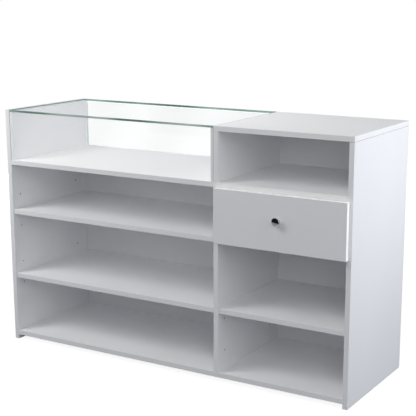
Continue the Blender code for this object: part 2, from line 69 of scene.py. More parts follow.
# %% [markdown]
# ## The camera
#
# The picture is taken from the staff side with a long lens, to the right of the counter and above it. A
# camera can be placed by eye, but here the edges of the boards were measured in the picture, and the
# place and lens that put every edge where it was found were solved from them. The camera came out with no
# lean to either side, and the small shift says that the picture was trimmed a little more on the right
# and at the foot than on the other sides.

# %% Camera
EYE = Vector((2.1026, -3.3522, 1.4258))
AIM = Vector((0.1100, -0.0032, 0.5236))
LENS_MM = 90.67
TRIM = (-0.0296, 0.0498)

lens = bpy.data.cameras.new("long_lens")
lens.lens = LENS_MM
lens.shift_x, lens.shift_y = TRIM
camera = bpy.data.objects.new("camera", lens)
scene.collection.objects.link(camera)
camera.location = EYE
camera.rotation_euler = (AIM - EYE).to_track_quat("-Z", "Y").to_euler()
scene.camera = camera
scene.view_settings.view_transform = "Standard"
print(f"camera {(AIM - EYE).length:.2f} m from its aim, {LENS_MM} mm lens")

# %% [markdown]
# ## Two helpers for materials
#
# Colours are easiest to pick as sRGB hex values, but shader nodes work in linear light, so one function
# turns the first into the second. Another adds one node to a tree, sets its options, and fills its inputs
# with numbers, colours or links from other nodes. Nodes could be wired by hand in the shader editor, but
# a script can be read, and run again. An input goes by its name in the editor, or by its place in the
# list where inputs share a name.


# %% Colour and node helpers
def linear(hex_colour):
    """An sRGB hex colour as the linear RGBA that shader nodes take, by the sRGB standard's curve."""
    values = [int(hex_colour[i : i + 2], 16) / 255 for i in (1, 3, 5)]
    return (*[v / 12.92 if v <= 0.04045 else ((v + 0.055) / 1.055) ** 2.4 for v in values], 1.0)


def add(tree, kind, inputs=None, **options):
    """Add a node, set its options, and give its inputs values or links from sockets or other nodes."""
    node = tree.nodes.new("ShaderNode" + kind)
    for option, value in options.items():
        setattr(node, option, value)
    for place, value in (inputs or {}).items():
        if isinstance(value, bpy.types.Node):
            value = next(output for output in value.outputs if output.enabled)
        if isinstance(value, bpy.types.NodeSocket):
            tree.links.new(value, node.inputs[place])
        else:
            node.inputs[place].default_value = value
    return node


def new_material(name):
    """A material with an empty node tree."""
    material = bpy.data.materials.new(name)
    material.use_nodes = True
    material.node_tree.nodes.clear()
    return material, material.node_tree


print("mid grey in linear light:", round(linear("#808080")[0], 3))

# %% [markdown]
# ## Studio: backdrop and floor
#
# The counter stands on white with no edge between floor and wall. A real studio uses a curved paper sweep
# for that. Here the world is a faint even light for the counter, and plain white for what the camera, the
# metal and the glass see, told apart by the kind of ray. The white boards pass light to and fro many
# times inside each open cell, so the light is followed for more bounces than usual.

# %% Backdrop
WHITE = linear("#FFFFFF")
PAPER_LIGHT = 1.0  # the strength that shows as plain white
ROOM_LIGHT = 0.03
ROOM_TINT = linear("#EEF2FF")
CELL_BOUNCES = 10


def seen_directly(tree):
    """1 for rays of the camera, of mirror reflections and of rays through glass, and 0 for the rest."""
    rays = add(tree, "LightPath").outputs
    straight_or_mirrored = {0: rays["Is Camera Ray"], 1: rays["Is Glossy Ray"]}
    seen = add(tree, "Math", straight_or_mirrored, operation="MAXIMUM")
    return add(tree, "Math", {0: seen, 1: rays["Is Transmission Ray"]}, operation="MAXIMUM")


world = bpy.data.worlds.new("white_studio")
world.use_nodes = True
tree = world.node_tree
tree.nodes.clear()
dim = add(tree, "Background", {"Color": ROOM_TINT, "Strength": ROOM_LIGHT})
paper = add(tree, "Background", {"Color": WHITE, "Strength": PAPER_LIGHT})
chosen = add(tree, "MixShader", {0: seen_directly(tree), 1: dim, 2: paper})
add(tree, "OutputWorld", {"Surface": chosen})
scene.world = world
scene.cycles.diffuse_bounces = CELL_BOUNCES
print(f"room light {ROOM_LIGHT}, white backdrop")

# %% [markdown]
# A floor could be plain white, but then the lamps would have to be very bright to show it so. This one is
# lifted to white for the camera, yet keeps part of its own shading, so the counter's soft shadow still
# lies on it. The lift reaches full white away from the counter, where no shadow falls and the lamps are
# weak. The light that it throws back up is that of a greyer, cooler floor, because the foot of the
# counter is dim and cool in the picture.

# %% Floor
FLOOR_HALF = 14.0
FLOOR_DROP = 0.5 * MM  # keeps it clear of the counter's feet
FLOOR_GREY = linear("#7A828A")
FLOOR_SHADE = linear("#7C7C7D")
LIFT = {"From Min": 1.2, "From Max": 3.0, "To Min": 0.90, "To Max": 1.0}  # metres out, to strength

floor_material, tree = new_material("pale_studio_floor")
far = add(tree, "VectorMath", {0: add(tree, "TexCoord").outputs["Object"]}, operation="LENGTH")
fade = add(tree, "MapRange", {"Value": far, **LIFT})
lift = add(tree, "Emission", {"Color": WHITE, "Strength": fade})
shade = add(tree, "BsdfDiffuse", {"Color": FLOOR_SHADE})
shown = add(tree, "AddShader", {0: lift, 1: shade})
returned = add(tree, "BsdfDiffuse", {"Color": FLOOR_GREY})
chosen = add(tree, "MixShader", {0: seen_directly(tree), 1: returned, 2: shown})
add(tree, "OutputMaterial", {"Surface": chosen})

floor_mesh = bpy.data.meshes.new("studio_floor")
corners = [(x * FLOOR_HALF, y * FLOOR_HALF, 0) for x, y in ((-1, -1), (1, -1), (1, 1), (-1, 1))]
floor_mesh.from_pydata(corners, [], [(0, 1, 2, 3)])
floor_mesh.materials.append(floor_material)
floor = bpy.data.objects.new("studio_floor", floor_mesh)
floor.location.z = cad_box[0].z - FLOOR_DROP
scene.collection.objects.link(floor)
print(f"floor {2 * FLOOR_HALF:.0f} m wide")

# %% [markdown]
# ## Studio: lamps
#
# The right side of the counter is the brightest and fades towards the floor, its top is a little greyer,
# everything that faces the staff is greyer still, and the cells are far from black. So a cool lamp stands
# close by the right side, wide softboxes hang at the left front, near the camera and at the right, a
# small one hangs over the showcase, and a weak one by the left corner lifts the edges there. Two at the
# back light the customer side for views from there, the lower one kept below the showcase. The strengths
# could be set by eye, but here one picture was made by each lamp alone, and the strengths were solved so
# that their sum has the greys that were measured. Mirror reflections don't see the lamps, because their
# outlines would show in the knob.


# %% Lamps
def softbox(name, place, aim, sides, watts, tint="#FFFFFF"):
    """A rectangular area lamp turned towards a point."""
    lamp = bpy.data.lights.new(name, "AREA")
    lamp.shape = "RECTANGLE"
    lamp.size, lamp.size_y = sides
    lamp.energy = watts
    lamp.color = linear(tint)[:3]
    made = bpy.data.objects.new(name, lamp)
    scene.collection.objects.link(made)
    made.location = place
    made.rotation_euler = (Vector(aim) - Vector(place)).to_track_quat("-Z", "Y").to_euler()
    made.visible_glossy = False


MIDDLE = (0.0, 0.0, 0.5)
LEFT_CORNER = (-0.74, -0.24, 0.85)
RIGHT_SIDE = (0.75, 0.1, 0.8)
SHOWCASE = (-0.3, 0.0, 0.9)
BACK_FOOT = (0.0, 0.0, 0.45)
WIDE, STRIP, NEAR = (2.0, 2.0), (2.0, 0.6), (0.8, 0.8)
COOL = "#F6F9FF"

softbox("left_front_softbox", place=(-2.05, -2.44, 3.68), aim=MIDDLE, sides=WIDE, watts=73)
softbox("left_corner_lamp", place=(-1.20, -0.90, 1.00), aim=LEFT_CORNER, sides=(0.5, 0.5), watts=2.7)
softbox("camera_softbox", place=(2.16, -3.46, 2.40), aim=MIDDLE, sides=WIDE, watts=43)
softbox("right_softbox", place=(3.94, -1.06, 2.40), aim=MIDDLE, sides=WIDE, watts=35, tint="#FAFBFF")
softbox("right_side_lamp", place=(1.90, 0.22, 1.10), aim=RIGHT_SIDE, sides=NEAR, watts=11.0, tint=COOL)
softbox("showcase_lamp", place=(-0.30, 0.0, 1.90), aim=SHOWCASE, sides=(0.9, 0.4), watts=5.8)
softbox("rear_softbox", place=(0.0, 4.48, 0.90), aim=MIDDLE, sides=WIDE, watts=45)
softbox("rear_left_low_softbox", place=(-3.60, 2.60, 0.40), aim=BACK_FOOT, sides=STRIP, watts=95)

# %% [markdown]
# Chrome on white looks flat, so photographers stand black cards where it mirrors them. A picture of a
# studio round the counter could do the same, but cards can be moved one by one. These are seen by mirror
# reflections alone, and cast no shade. One lies on the floor in front, with a blue-grey one on it at the
# left, which gives the lower half of the knob its steely look.

# %% Cards
CARD_LEFT, CARD_RIGHT = -7.0, 3.0
CARD_FRONT, CARD_BACK = -5.2, -0.6
CARD_FOOT, CARD_HEIGHT = 0.01, 4.2
GREY_RIGHT, GREY_FRONT = 0.7, -1.8
GREY_FOOT = 2 * CARD_FOOT
CARD_BLACK = linear("#1E2024")
CARD_GREY = linear("#9AA6B4")


def card(name, corners, colour):
    """A flat card that only mirror reflections see."""
    material, tree = new_material(name)
    add(tree, "OutputMaterial", {"Surface": add(tree, "Emission", {"Color": colour})})
    mesh = bpy.data.meshes.new(name)
    mesh.from_pydata(corners, [], [(0, 1, 2, 3)])
    mesh.materials.append(material)
    made = bpy.data.objects.new(name, mesh)
    for kind_of_ray in ("camera", "transmission", "diffuse", "shadow"):
        setattr(made, "visible_" + kind_of_ray, False)
    scene.collection.objects.link(made)


def level_card(name, left, right, front, back, height, colour):
    """A card that lies level."""
    outline = (left, front), (right, front), (right, back), (left, back)
    card(name, [(*corner, height) for corner in outline], colour)


def upright_card(name, start, end, colour):
    """A card that stands on the line between two points of the floor."""
    foot = [(*start, CARD_FOOT), (*end, CARD_FOOT)]
    head = [(*end, CARD_HEIGHT), (*start, CARD_HEIGHT)]
    card(name, foot + head, colour)


upright_card("left_black_card", (CARD_LEFT, CARD_BACK), (CARD_LEFT, CARD_FRONT), CARD_BLACK)
upright_card("front_black_card", (CARD_LEFT, CARD_FRONT), (CARD_RIGHT, CARD_FRONT), CARD_BLACK)
level_card("floor_black_card", CARD_LEFT, CARD_RIGHT, CARD_FRONT, CARD_BACK, CARD_FOOT, CARD_BLACK)
level_card("floor_grey_card", CARD_LEFT, GREY_RIGHT, GREY_FRONT, CARD_BACK, GREY_FOOT, CARD_GREY)
print("cards: three black, one grey")

# %% [markdown]
# ## White melamine board
#
# The carcass is chipboard pressed with white melamine paper, and its edges carry a thin ABS band. The
# face has a fine pearl grain that softens the shine, and the band is smoother. A painted picture could
# show that, but noise in real millimetres fits every board. First come three masks that say where on a
# board a point is. Edges are told from faces by the direction that the board is thin in. A surface that
# lies inside the board's own box, away from its outline, is in a shelf pin hole. The back of a lining is
# told by how far through the board a point lies.

# %% Where a point lies on a board
ACROSS, DEEP, UP = (1, 0, 0), (0, 1, 0), (0, 0, 1)
LEFTWARDS = (-1, 0, 0)
HALF = (0.5, 0.5, 0.5)
EDGE_TURN = 0.5  # cosine of the turn away from the faces at which an edge starts
INSIDE_LOW, INSIDE_HIGH = (0.03, 0.012, 0.012), (0.97, 0.988, 0.988)  # shares of the board's box


def edge_mask(tree, place, thin_axis):
    """1 on the edges of a sheet that is thin along this axis, and 0 on its faces."""
    facing = add(tree, "VectorMath", {0: place["Normal"], 1: thin_axis}, operation="DOT_PRODUCT")
    either_way = add(tree, "Math", {0: facing}, operation="ABSOLUTE")
    return add(tree, "Math", {0: either_way, 1: EDGE_TURN}, operation="LESS_THAN")


def hole_mask(tree, place):
    """1 where the surface runs into the board, and 0 on its outside."""
    above = add(tree, "VectorMath", {0: place["Generated"], 1: INSIDE_LOW}, operation="SUBTRACT")
    below = add(tree, "VectorMath", {0: INSIDE_HIGH, 1: place["Generated"]}, operation="SUBTRACT")
    nearer = add(tree, "VectorMath", {0: above, 1: below}, operation="MINIMUM")
    least = add(tree, "SeparateXYZ", {"Vector": nearer}).outputs
    inside = add(tree, "Math", {0: least["X"], 1: least["Y"]}, operation="MINIMUM")
    inside = add(tree, "Math", {0: inside, 1: least["Z"]}, operation="MINIMUM")
    return add(tree, "Math", {0: inside, 1: 0.0}, operation="GREATER_THAN")


def back_mask(tree, place, thin_axis, share):
    """1 within this share of the board's thickness from the face that the axis points out of."""
    from_middle = add(tree, "VectorMath", {0: place["Generated"], 1: HALF}, operation="SUBTRACT")
    towards_back = add(tree, "VectorMath", {0: from_middle, 1: thin_axis}, operation="DOT_PRODUCT")
    return add(tree, "Math", {0: towards_back, 1: 0.5 - share}, operation="GREATER_THAN")


print("masks for edges, pin holes and backs")

# %% [markdown]
# The pin holes bare the brown chipboard, painted darker for the shade inside them. The back of each
# lining of the showcase is painted dark brown, which shows as a thin line of painted shade in the joint
# where it meets the boards, and the upper end of the right side, under the top, has such a line too. The
# band on the upper end of the left side is painted greyer. The drawer front has a thicker band of purer
# white, which also gives off a little light of its own, a painted highlight along its edges. Each board
# could have a material wired for it alone, but they differ in little, so one function takes what sets a
# board apart.

# %% Melamine
SHARE, NUMBER_A, NUMBER_B, COLOUR_A, COLOUR_B = 0, 2, 3, 6, 7  # places of a Mix node's inputs
MOST_NOISE = {"From Min": 0.3, "From Max": 0.7}  # nearly all of a noise pattern lies in this range
PEARL_GRAIN = 3.0 * MM  # the real grain is about 0.5 mm, too fine to show, so it is drawn coarser
GRAIN_RELIEF = {"Strength": 0.12, "Distance": 0.05 * MM}
TONE_PATCH = 300 * MM
FACE_SHINE = {"To Min": 0.54, "To Max": 0.66}
BAND_SHINE = 0.45
MELAMINE_IOR = 1.46
MELAMINE_WHITE = linear("#F7F7F8")  # a bright, faintly cool white
MELAMINE_SHADE = linear("#F4F4F5")
BAND_WHITE = linear("#F7F7F8")
# a purer white band for the drawer front, and the strength of the light it gives off as a painted highlight
FRONT_HIGHLIGHT_BAND, FRONT_PAINTED_HIGHLIGHT = linear("#FFFFFF"), 0.1
HOLE_CHIPBOARD_SHADE = linear("#5B4A38")  # brown chipboard, painted darker for the shade in a narrow hole
JOINT_SHADE = linear("#4E443A")  # painted shade, dark brown, for the joint behind a lining
# the band on the left side's upper end, painted greyer
GREYER_UPPER_BAND = linear("#DADADC")
TOP_JOINT_SHADE = linear("#8C7C6A")  # painted shade for the joint under the top
UPPER_END = 0.0004  # share of the board's height


def melamine(name, thin_axis, bored=False, joint_shade=0.0, band=BAND_WHITE, painted_highlight=0.0, upper_end=None):
    """White melamine board that is thin along one axis, with what sets it apart from a plain one."""
    material, tree = new_material(name)
    place = add(tree, "TexCoord").outputs
    grain = add(tree, "TexNoise", {"Vector": place["Object"], "Scale": 1 / PEARL_GRAIN, "Detail": 2.0})
    patches = add(tree, "TexNoise", {"Vector": place["Object"], "Scale": 1 / TONE_PATCH, "Detail": 1.0})
    edge = edge_mask(tree, place, thin_axis)
    whites = {SHARE: patches, COLOUR_A: MELAMINE_WHITE, COLOUR_B: MELAMINE_SHADE}
    colour = add(tree, "Mix", whites, data_type="RGBA")
    layers = [(edge, band)]
    # painted shade: the back of a lining is painted dark for the joint where it meets a board
    if joint_shade:
        layers.append((back_mask(tree, place, thin_axis, joint_shade), JOINT_SHADE))
    # a thin strip along a board's upper end: painted shade at the joint on the right side, painted greyer
    # on the left side
    if upper_end:
        height = add(tree, "SeparateXYZ", {"Vector": place["Generated"]}).outputs["Z"]
        end = add(tree, "Math", {0: height, 1: 1 - UPPER_END}, operation="GREATER_THAN")
        layers.append((end, upper_end))
    # brown chipboard in the pin holes, painted darker as shade
    if bored:
        layers.append((hole_mask(tree, place), HOLE_CHIPBOARD_SHADE))
    for mask, paint in layers:
        colour = add(tree, "Mix", {SHARE: mask, COLOUR_A: colour, COLOUR_B: paint}, data_type="RGBA")
    satin = add(tree, "MapRange", {"Value": grain, **MOST_NOISE, **FACE_SHINE})
    shine = add(tree, "Mix", {SHARE: edge, NUMBER_A: satin, NUMBER_B: BAND_SHINE})
    relief = add(tree, "Bump", {**GRAIN_RELIEF, "Height": grain})
    inputs = {"Base Color": colour, "Roughness": shine, "IOR": MELAMINE_IOR, "Normal": relief}
    # painted highlight: the band gives off a little light of its own
    if painted_highlight:
        inputs["Emission Color"] = band
        inputs["Emission Strength"] = add(tree, "Math", {0: edge, 1: painted_highlight}, operation="MULTIPLY")
    add(tree, "OutputMaterial", {"Surface": add(tree, "BsdfPrincipled", inputs)})
    return material


print("pearl grain", PEARL_GRAIN / MM, "mm")

# %% Melamine boards
LEFT_JOINT_SHADE, RIGHT_JOINT_SHADE = 0.08, 0.10  # shares of the linings' thickness painted as joint shade

upright = melamine("melamine_upright_board", ACROSS)
upright_bored = melamine("melamine_upright_board_with_pin_holes", ACROSS, bored=True)
left_side = melamine("melamine_left_side", ACROSS, bored=True, upper_end=GREYER_UPPER_BAND)
right_side = melamine("melamine_right_side", ACROSS, bored=True, upper_end=TOP_JOINT_SHADE)
left_lining = melamine("melamine_left_lining", LEFTWARDS, joint_shade=LEFT_JOINT_SHADE)
right_lining = melamine("melamine_right_lining", ACROSS, joint_shade=RIGHT_JOINT_SHADE)
level = melamine("melamine_level_board", UP)
back_board = melamine("melamine_back_board", DEEP)
drawer_board = melamine("melamine_drawer_front", DEEP, band=FRONT_HIGHLIGHT_BAND, painted_highlight=FRONT_PAINTED_HIGHLIGHT)
print("melamine for boards that are thin across, deep and up")

# %% [markdown]
# Real edge bands are eased with a scraper, and that thin rounding catches the light along a board. A
# bevel modifier could give it, but the solids already have eased edges, so each board needs only its
# finish.


# %% Dress the boards
def dress(material, *names):
    """Give CAD nodes this material."""
    for name in names:
        nodes[name].data.materials.clear()
        nodes[name].data.materials.append(material)


dress(upright_bored, "lower_divider")
dress(left_side, "left_side_panel")
dress(right_side, "right_side_panel")
dress(upright, "upper_divider")
dress(left_lining, "showcase_lining_left")
dress(right_lining, "showcase_lining_right")
dress(level, "top_panel", "deck_panel", "bottom_panel")
dress(level, "left_upper_shelf", "left_lower_shelf", "right_shelf")
dress(back_board, "lower_back_panel", "upper_back_panel")
dress(drawer_board, "drawer_front")
print("melamine on", sum("melamine" in node.data.materials[0].name for node in nodes.values()), "boards")

# %% [markdown]
# ## Drawer box
#
# The box behind the drawer front is thinner board wrapped in white foil, a little greyer and duller than
# melamine, with a faint print of fine lines along it. A picture of the print would have to be laid out on
# every board, so noise that is stretched along the boards draws the lines.

# %% Foil
FOIL_WHITE = linear("#EAEBEB")  # a thin lacquered foil looks greyer and duller than melamine
FOIL_GREY = linear("#E2E3E4")
FOIL_LINE = 4 * MM  # such lines lie about 1 mm apart, too fine to show, so they are drawn coarser
FOIL_STRETCH = (0.06, 0.06, 1.0)
FOIL_SHINE = {"To Min": 0.48, "To Max": 0.6}
FOIL_RELIEF = {"Strength": 0.1, "Distance": 0.05 * MM}
FOIL_IOR = 1.48

foil, tree = new_material("white_drawer_foil")
place = add(tree, "TexCoord").outputs["Object"]
stretched = add(tree, "VectorMath", {0: place, 1: FOIL_STRETCH}, operation="MULTIPLY")
lines = add(tree, "TexNoise", {"Vector": stretched, "Scale": 1 / FOIL_LINE, "Detail": 2.0})
colour = add(tree, "Mix", {SHARE: lines, COLOUR_A: FOIL_WHITE, COLOUR_B: FOIL_GREY}, data_type="RGBA")
shine = add(tree, "MapRange", {"Value": lines, **MOST_NOISE, **FOIL_SHINE})
relief = add(tree, "Bump", {**FOIL_RELIEF, "Height": lines})
inputs = {"Base Color": colour, "Roughness": shine, "IOR": FOIL_IOR, "Normal": relief}
add(tree, "OutputMaterial", {"Surface": add(tree, "BsdfPrincipled", inputs)})
dress(foil, "drawer_box_front", "drawer_box_back", "drawer_bottom")
dress(foil, "drawer_side_left", "drawer_side_right")
print("foil on the drawer box")

# %% [markdown]
# ## Float glass
#
# The showcase has a pane on top and one at the back. Float glass is clear through its face and green
# through its edge, because iron in it swallows red over the long way along the sheet. A flat sheet bends
# light and straightens it again, so here it lets light pass unbent and takes only a little of it, which
# also lets the lamps reach the goods. The picture shows hardly any glare on the top pane, so the sheen at
# a low angle is held down. Faint slanting bands of painted reflection, drawn as a slightly darker tint,
# are all that tells the eye that there is a pane at the back.

# %% Glass faces
# the tint of clean glass, and its tint inside a band of painted reflection
TOP_CLEAR, TOP_REFLECTION_STREAK = linear("#FFFFFF"), linear("#FEFEFE")  # all but clear
REAR_CLEAR, REAR_REFLECTION_STREAK = linear("#FEFFFF"), linear("#FBFCFC")
REFLECTION_BAND = 300 * MM  # from one band of painted reflection to the next
REFLECTION_ACROSS, REFLECTION_START = (0.848, 0.0, -0.530), 0.37
REFLECTION_SWING = {"From Min": -1.0, "From Max": 1.0, "To Min": 1.0, "To Max": 0.0}  # from a sine
SMEAR = 90 * MM
SMEAR_SHINE = {"To Min": 0.0, "To Max": 0.04}
GLASS_SHEEN = {"To Min": 0.015, "To Max": 0.05}  # the share mirrored straight on, and at the lowest angle
SHEEN_POWER = 5.0  # how late the sheen rises as the eye comes down


def clear_face(name, clear_tint, streak_tint):
    """The clear face of float glass, with painted reflection that comes and goes in slanting bands."""
    material, tree = new_material(name)
    place = add(tree, "TexCoord").outputs["Object"]
    across = add(tree, "VectorMath", {0: place, 1: REFLECTION_ACROSS}, operation="DOT_PRODUCT")
    sweep = {0: across, 1: math.tau / REFLECTION_BAND, 2: REFLECTION_START}
    swing = add(tree, "Math", {0: add(tree, "Math", sweep, operation="MULTIPLY_ADD")}, operation="SINE")
    painted_reflection = add(tree, "MapRange", {"Value": swing, **REFLECTION_SWING})
    passes = add(tree, "Mix", {SHARE: painted_reflection, COLOUR_A: clear_tint, COLOUR_B: streak_tint}, data_type="RGBA")
    smears = add(tree, "TexNoise", {"Vector": place, "Scale": 1 / SMEAR, "Detail": 2.0})
    polish = add(tree, "MapRange", {"Value": smears, **MOST_NOISE, **SMEAR_SHINE})
    slant = add(tree, "LayerWeight").outputs["Facing"]
    steep = add(tree, "Math", {0: slant, 1: SHEEN_POWER}, operation="POWER")
    sheen = add(tree, "MapRange", {"Value": steep, **GLASS_SHEEN})
    clear = add(tree, "BsdfTransparent", {"Color": passes})
    mirror = add(tree, "BsdfGlossy", {"Color": WHITE, "Roughness": polish})
    add(tree, "OutputMaterial", {"Surface": add(tree, "MixShader", {0: sheen, 1: clear, 2: mirror})})
    return material


top_face = clear_face("float_glass_top", TOP_CLEAR, TOP_REFLECTION_STREAK)
rear_face = clear_face("float_glass_rear", REAR_CLEAR, REAR_REFLECTION_STREAK)
print("glass faces:", top_face.name, rear_face.name)

# %% [markdown]
# The edges are ground smooth. The green of the top's edge comes and goes along the sheet, as the eye
# looks into darker and paler depths of it, and the far edge, seen through the sheet itself, is darkened
# with painted shade. Light traced through real glass could show that, but it takes long and comes out
# grainy, so noise draws it.
# The ends of the top lie against boards: their upper half is painted dark as shade, and their lower
# half is painted pale, as the white board seen through them.

# %% Green edges of the top
EDGE_DEEP = linear("#6C9080")  # the green that iron gives to glass
EDGE_PALE = linear("#EAF4EF")
FAR_EDGE_SHADE = linear("#A9C0B8")  # painted shade on the far edge, seen through the sheet
FAR_FROM = 0.2  # only the far edge lies farther back than this
# the ends: painted shade above, and the white board seen through them painted below
TOP_END_SHADE, TOP_END_PAINTED_BOARD = linear("#64777C"), linear("#D4DEE0")
FOOT_SHARE = 0.5
EDGE_WAVE = 300 * MM
EDGE_STRETCH = (1, 0.3, 0)  # the waves are drawn out along the sheet
EDGE_SHIFT = (33.14, 1.327, 0)  # to a stretch of noise that suits
EDGE_DEPTH = {"From Min": 0.40, "From Max": 0.62}
EDGE_SHINE = {"To Min": 0.12, "To Max": 0.25}
GLASS_IOR = 1.52

top_edge, tree = new_material("green_glass_edge_top")
place = add(tree, "TexCoord").outputs
drawn = {0: place["Object"], 1: EDGE_STRETCH, 2: EDGE_SHIFT}
along = add(tree, "VectorMath", drawn, operation="MULTIPLY_ADD")
waves = add(tree, "TexNoise", {"Vector": along, "Scale": 1 / EDGE_WAVE, "Detail": 1.0})
depth = add(tree, "MapRange", {"Value": waves, **EDGE_DEPTH})
colour = add(tree, "Mix", {SHARE: depth, COLOUR_A: EDGE_DEEP, COLOUR_B: EDGE_PALE}, data_type="RGBA")
deep = add(tree, "SeparateXYZ", {"Vector": place["Object"]}).outputs["Y"]
far = add(tree, "Math", {0: deep, 1: FAR_FROM}, operation="GREATER_THAN")
dimmed = {SHARE: far, COLOUR_A: colour, COLOUR_B: FAR_EDGE_SHADE}
colour = add(tree, "Mix", dimmed, data_type="RGBA", blend_type="MULTIPLY")
height = add(tree, "SeparateXYZ", {"Vector": place["Generated"]}).outputs["Z"]
foot = add(tree, "Math", {0: height, 1: FOOT_SHARE}, operation="LESS_THAN")
end = add(tree, "Mix", {SHARE: foot, COLOUR_A: TOP_END_SHADE, COLOUR_B: TOP_END_PAINTED_BOARD}, data_type="RGBA")
between_ends = edge_mask(tree, place, ACROSS)
colour = add(tree, "Mix", {SHARE: between_ends, COLOUR_A: end, COLOUR_B: colour}, data_type="RGBA")
shine = add(tree, "MapRange", {"Value": waves, **MOST_NOISE, **EDGE_SHINE})
ground = add(tree, "BsdfPrincipled", {"Base Color": colour, "Roughness": shine, "IOR": GLASS_IOR})
add(tree, "OutputMaterial", {"Surface": ground})
print("green edge:", top_edge.name)

# %% [markdown]
# The edges of the rear pane lie in grooves and under the top. They are painted pale, and glow a little:
# painted light for light that has run along inside the pane, which lifts the shade in the grooves. Traced
# light could show that too, but a faint glow of their own gives it with no grain.

# %% Pale edges of the rear pane
REAR_EDGE, REAR_EDGE_PAINTED_LIGHT = linear("#E6ECEE"), 0.65  # a bright, cool line, painted pale and glowing as painted light

rear_edge, tree = new_material("pale_glass_edge_rear")
place = add(tree, "TexCoord").outputs["Object"]
waves = add(tree, "TexNoise", {"Vector": place, "Scale": 1 / EDGE_WAVE})
shine = add(tree, "MapRange", {"Value": waves, **MOST_NOISE, **EDGE_SHINE})
pale = {"Base Color": REAR_EDGE, "Emission Color": REAR_EDGE, "Emission Strength": REAR_EDGE_PAINTED_LIGHT}
ground = add(tree, "BsdfPrincipled", {**pale, "Roughness": shine, "IOR": GLASS_IOR})
add(tree, "OutputMaterial", {"Surface": ground})
print("pale edge:", rear_edge.name)

# %% [markdown]
# The solids of the panes could be dressed as they are, but then one finish would have to tell faces from
# edges by a mask. So the panes are drawn afresh in the same place, with a finish for each, and with their
# edges rounded as a grinding belt leaves them.

# %% Panes
GLASS_ARRIS = 0.7 * MM
ARRIS_STEPS = 2
FLAT_ON = 0.99  # cosine of the turn within which a side counts as a face


def pane(name, node, thin, face_material, edge_material):
    """A sheet of glass in the place of a CAD node, thin along one axis, with ground edges."""
    low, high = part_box(node)
    work = bmesh.new()
    bmesh.ops.create_cube(work, size=1.0)
    bmesh.ops.scale(work, vec=high - low, verts=work.verts)
    bmesh.ops.translate(work, vec=(low + high) / 2, verts=work.verts)
    edges = work.edges[:]
    bmesh.ops.bevel(work, geom=edges, offset=GLASS_ARRIS, segments=ARRIS_STEPS, profile=0.5, affect="EDGES")
    for side in work.faces:
        side.material_index = 0 if abs(side.normal.dot(Vector(thin))) > FLAT_ON else 1
    mesh = bpy.data.meshes.new(name)
    work.to_mesh(mesh)
    work.free()
    mesh.materials.append(face_material)
    mesh.materials.append(edge_material)
    sheet = bpy.data.objects.new(name, mesh)
    scene.collection.objects.link(sheet)
    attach(sheet, "carcass")
    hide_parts(node)
    return sheet


panes = [
    pane("top_pane", "glass_top", UP, top_face, top_edge),
    pane("rear_pane", "glass_rear", DEEP, rear_face, rear_edge),
]
print("panes:", [[round(length / MM) for length in sheet.dimensions] for sheet in panes], "mm")

# %% [markdown]
# ## Chrome knob
#
# A small turned knob: a shallow domed face with a rounded rim, on a waisted stem, plated and polished. It
# could be cut from a cylinder, but turned work is made by spinning a profile round its axis, and so is
# this. It has far more steps than the solid, because a mirror shows every flat.

# %% Turned pieces
TURN_STEPS = 96
ARC_STEPS = 16
WELD = 1e-6
SMOOTH_UNDER = math.radians(30)


def arc(centre, radii, start, end, steps=ARC_STEPS):
    """Points along part of an ellipse, between two angles in degrees."""
    angles = [math.radians(start + (end - start) * i / steps) for i in range(steps + 1)]
    return [(centre[0] + radii[0] * math.cos(a), centre[1] + radii[1] * math.sin(a)) for a in angles]


def turned(name, profile, steps=TURN_STEPS):
    """A mesh turned about Z from (radius, height) points that start and end on the axis."""
    work = bmesh.new()
    points = [work.verts.new((radius, 0, height)) for radius, height in profile]
    edges = [work.edges.new(pair) for pair in zip(points, points[1:])]
    outline = points + edges
    bmesh.ops.spin(work, geom=outline, cent=(0, 0, 0), axis=(0, 0, 1), angle=math.tau, steps=steps)
    bmesh.ops.remove_doubles(work, verts=work.verts, dist=WELD)
    bmesh.ops.recalc_face_normals(work, faces=work.faces)
    mesh = bpy.data.meshes.new(name)
    work.to_mesh(mesh)
    work.free()
    mesh.shade_smooth()
    mesh.set_sharp_from_angle(angle=SMOOTH_UNDER)
    return mesh


def set_down(name, mesh, place, facing, body):
    """An object of a mesh, with its Z turned to face one way, riding on a body."""
    piece = bpy.data.objects.new(name, mesh)
    scene.collection.objects.link(piece)
    turn = Vector(facing).to_track_quat("Z", "Y").to_matrix().to_4x4()
    piece.matrix_world = Matrix.Translation(place) @ turn
    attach(piece, body)
    return piece


print("a turned piece has", TURN_STEPS, "steps")

# %% [markdown]
# Chrome plating on polished metal is a nearly perfect mirror, a little darker than silver. It could have
# one shine all over, but polishing leaves faint swirls that make the mirror live, so noise varies it.

# %% Chrome
CHROME = linear("#C4C5C5")  # a neutral mirror that is a little dark
POLISH_SWIRL = 1.2 * MM  # real swirls are some tenths of a millimetre, too fine to show, so drawn coarser
CHROME_SHINE = {"To Min": 0.04, "To Max": 0.09}

chrome, tree = new_material("polished_chrome")
place = add(tree, "TexCoord").outputs["Object"]
swirl = add(tree, "TexNoise", {"Vector": place, "Scale": 1 / POLISH_SWIRL, "Detail": 2.0})
shine = add(tree, "MapRange", {"Value": swirl, **MOST_NOISE, **CHROME_SHINE})
plated = add(tree, "BsdfPrincipled", {"Base Color": CHROME, "Metallic": 1.0, "Roughness": shine})
add(tree, "OutputMaterial", {"Surface": plated})
print("chrome mixed")

# %% [markdown]
# The knob's profile takes its radius and length from the solid. It runs from the middle of the domed face
# over the rounded rim, round the underside, down the waisted neck and over the foot. The dome is a wide
# arc that leans off until the rim's arc takes over. The nearly flat face mirrors the dark cards, and the
# rim mirrors the white round about.

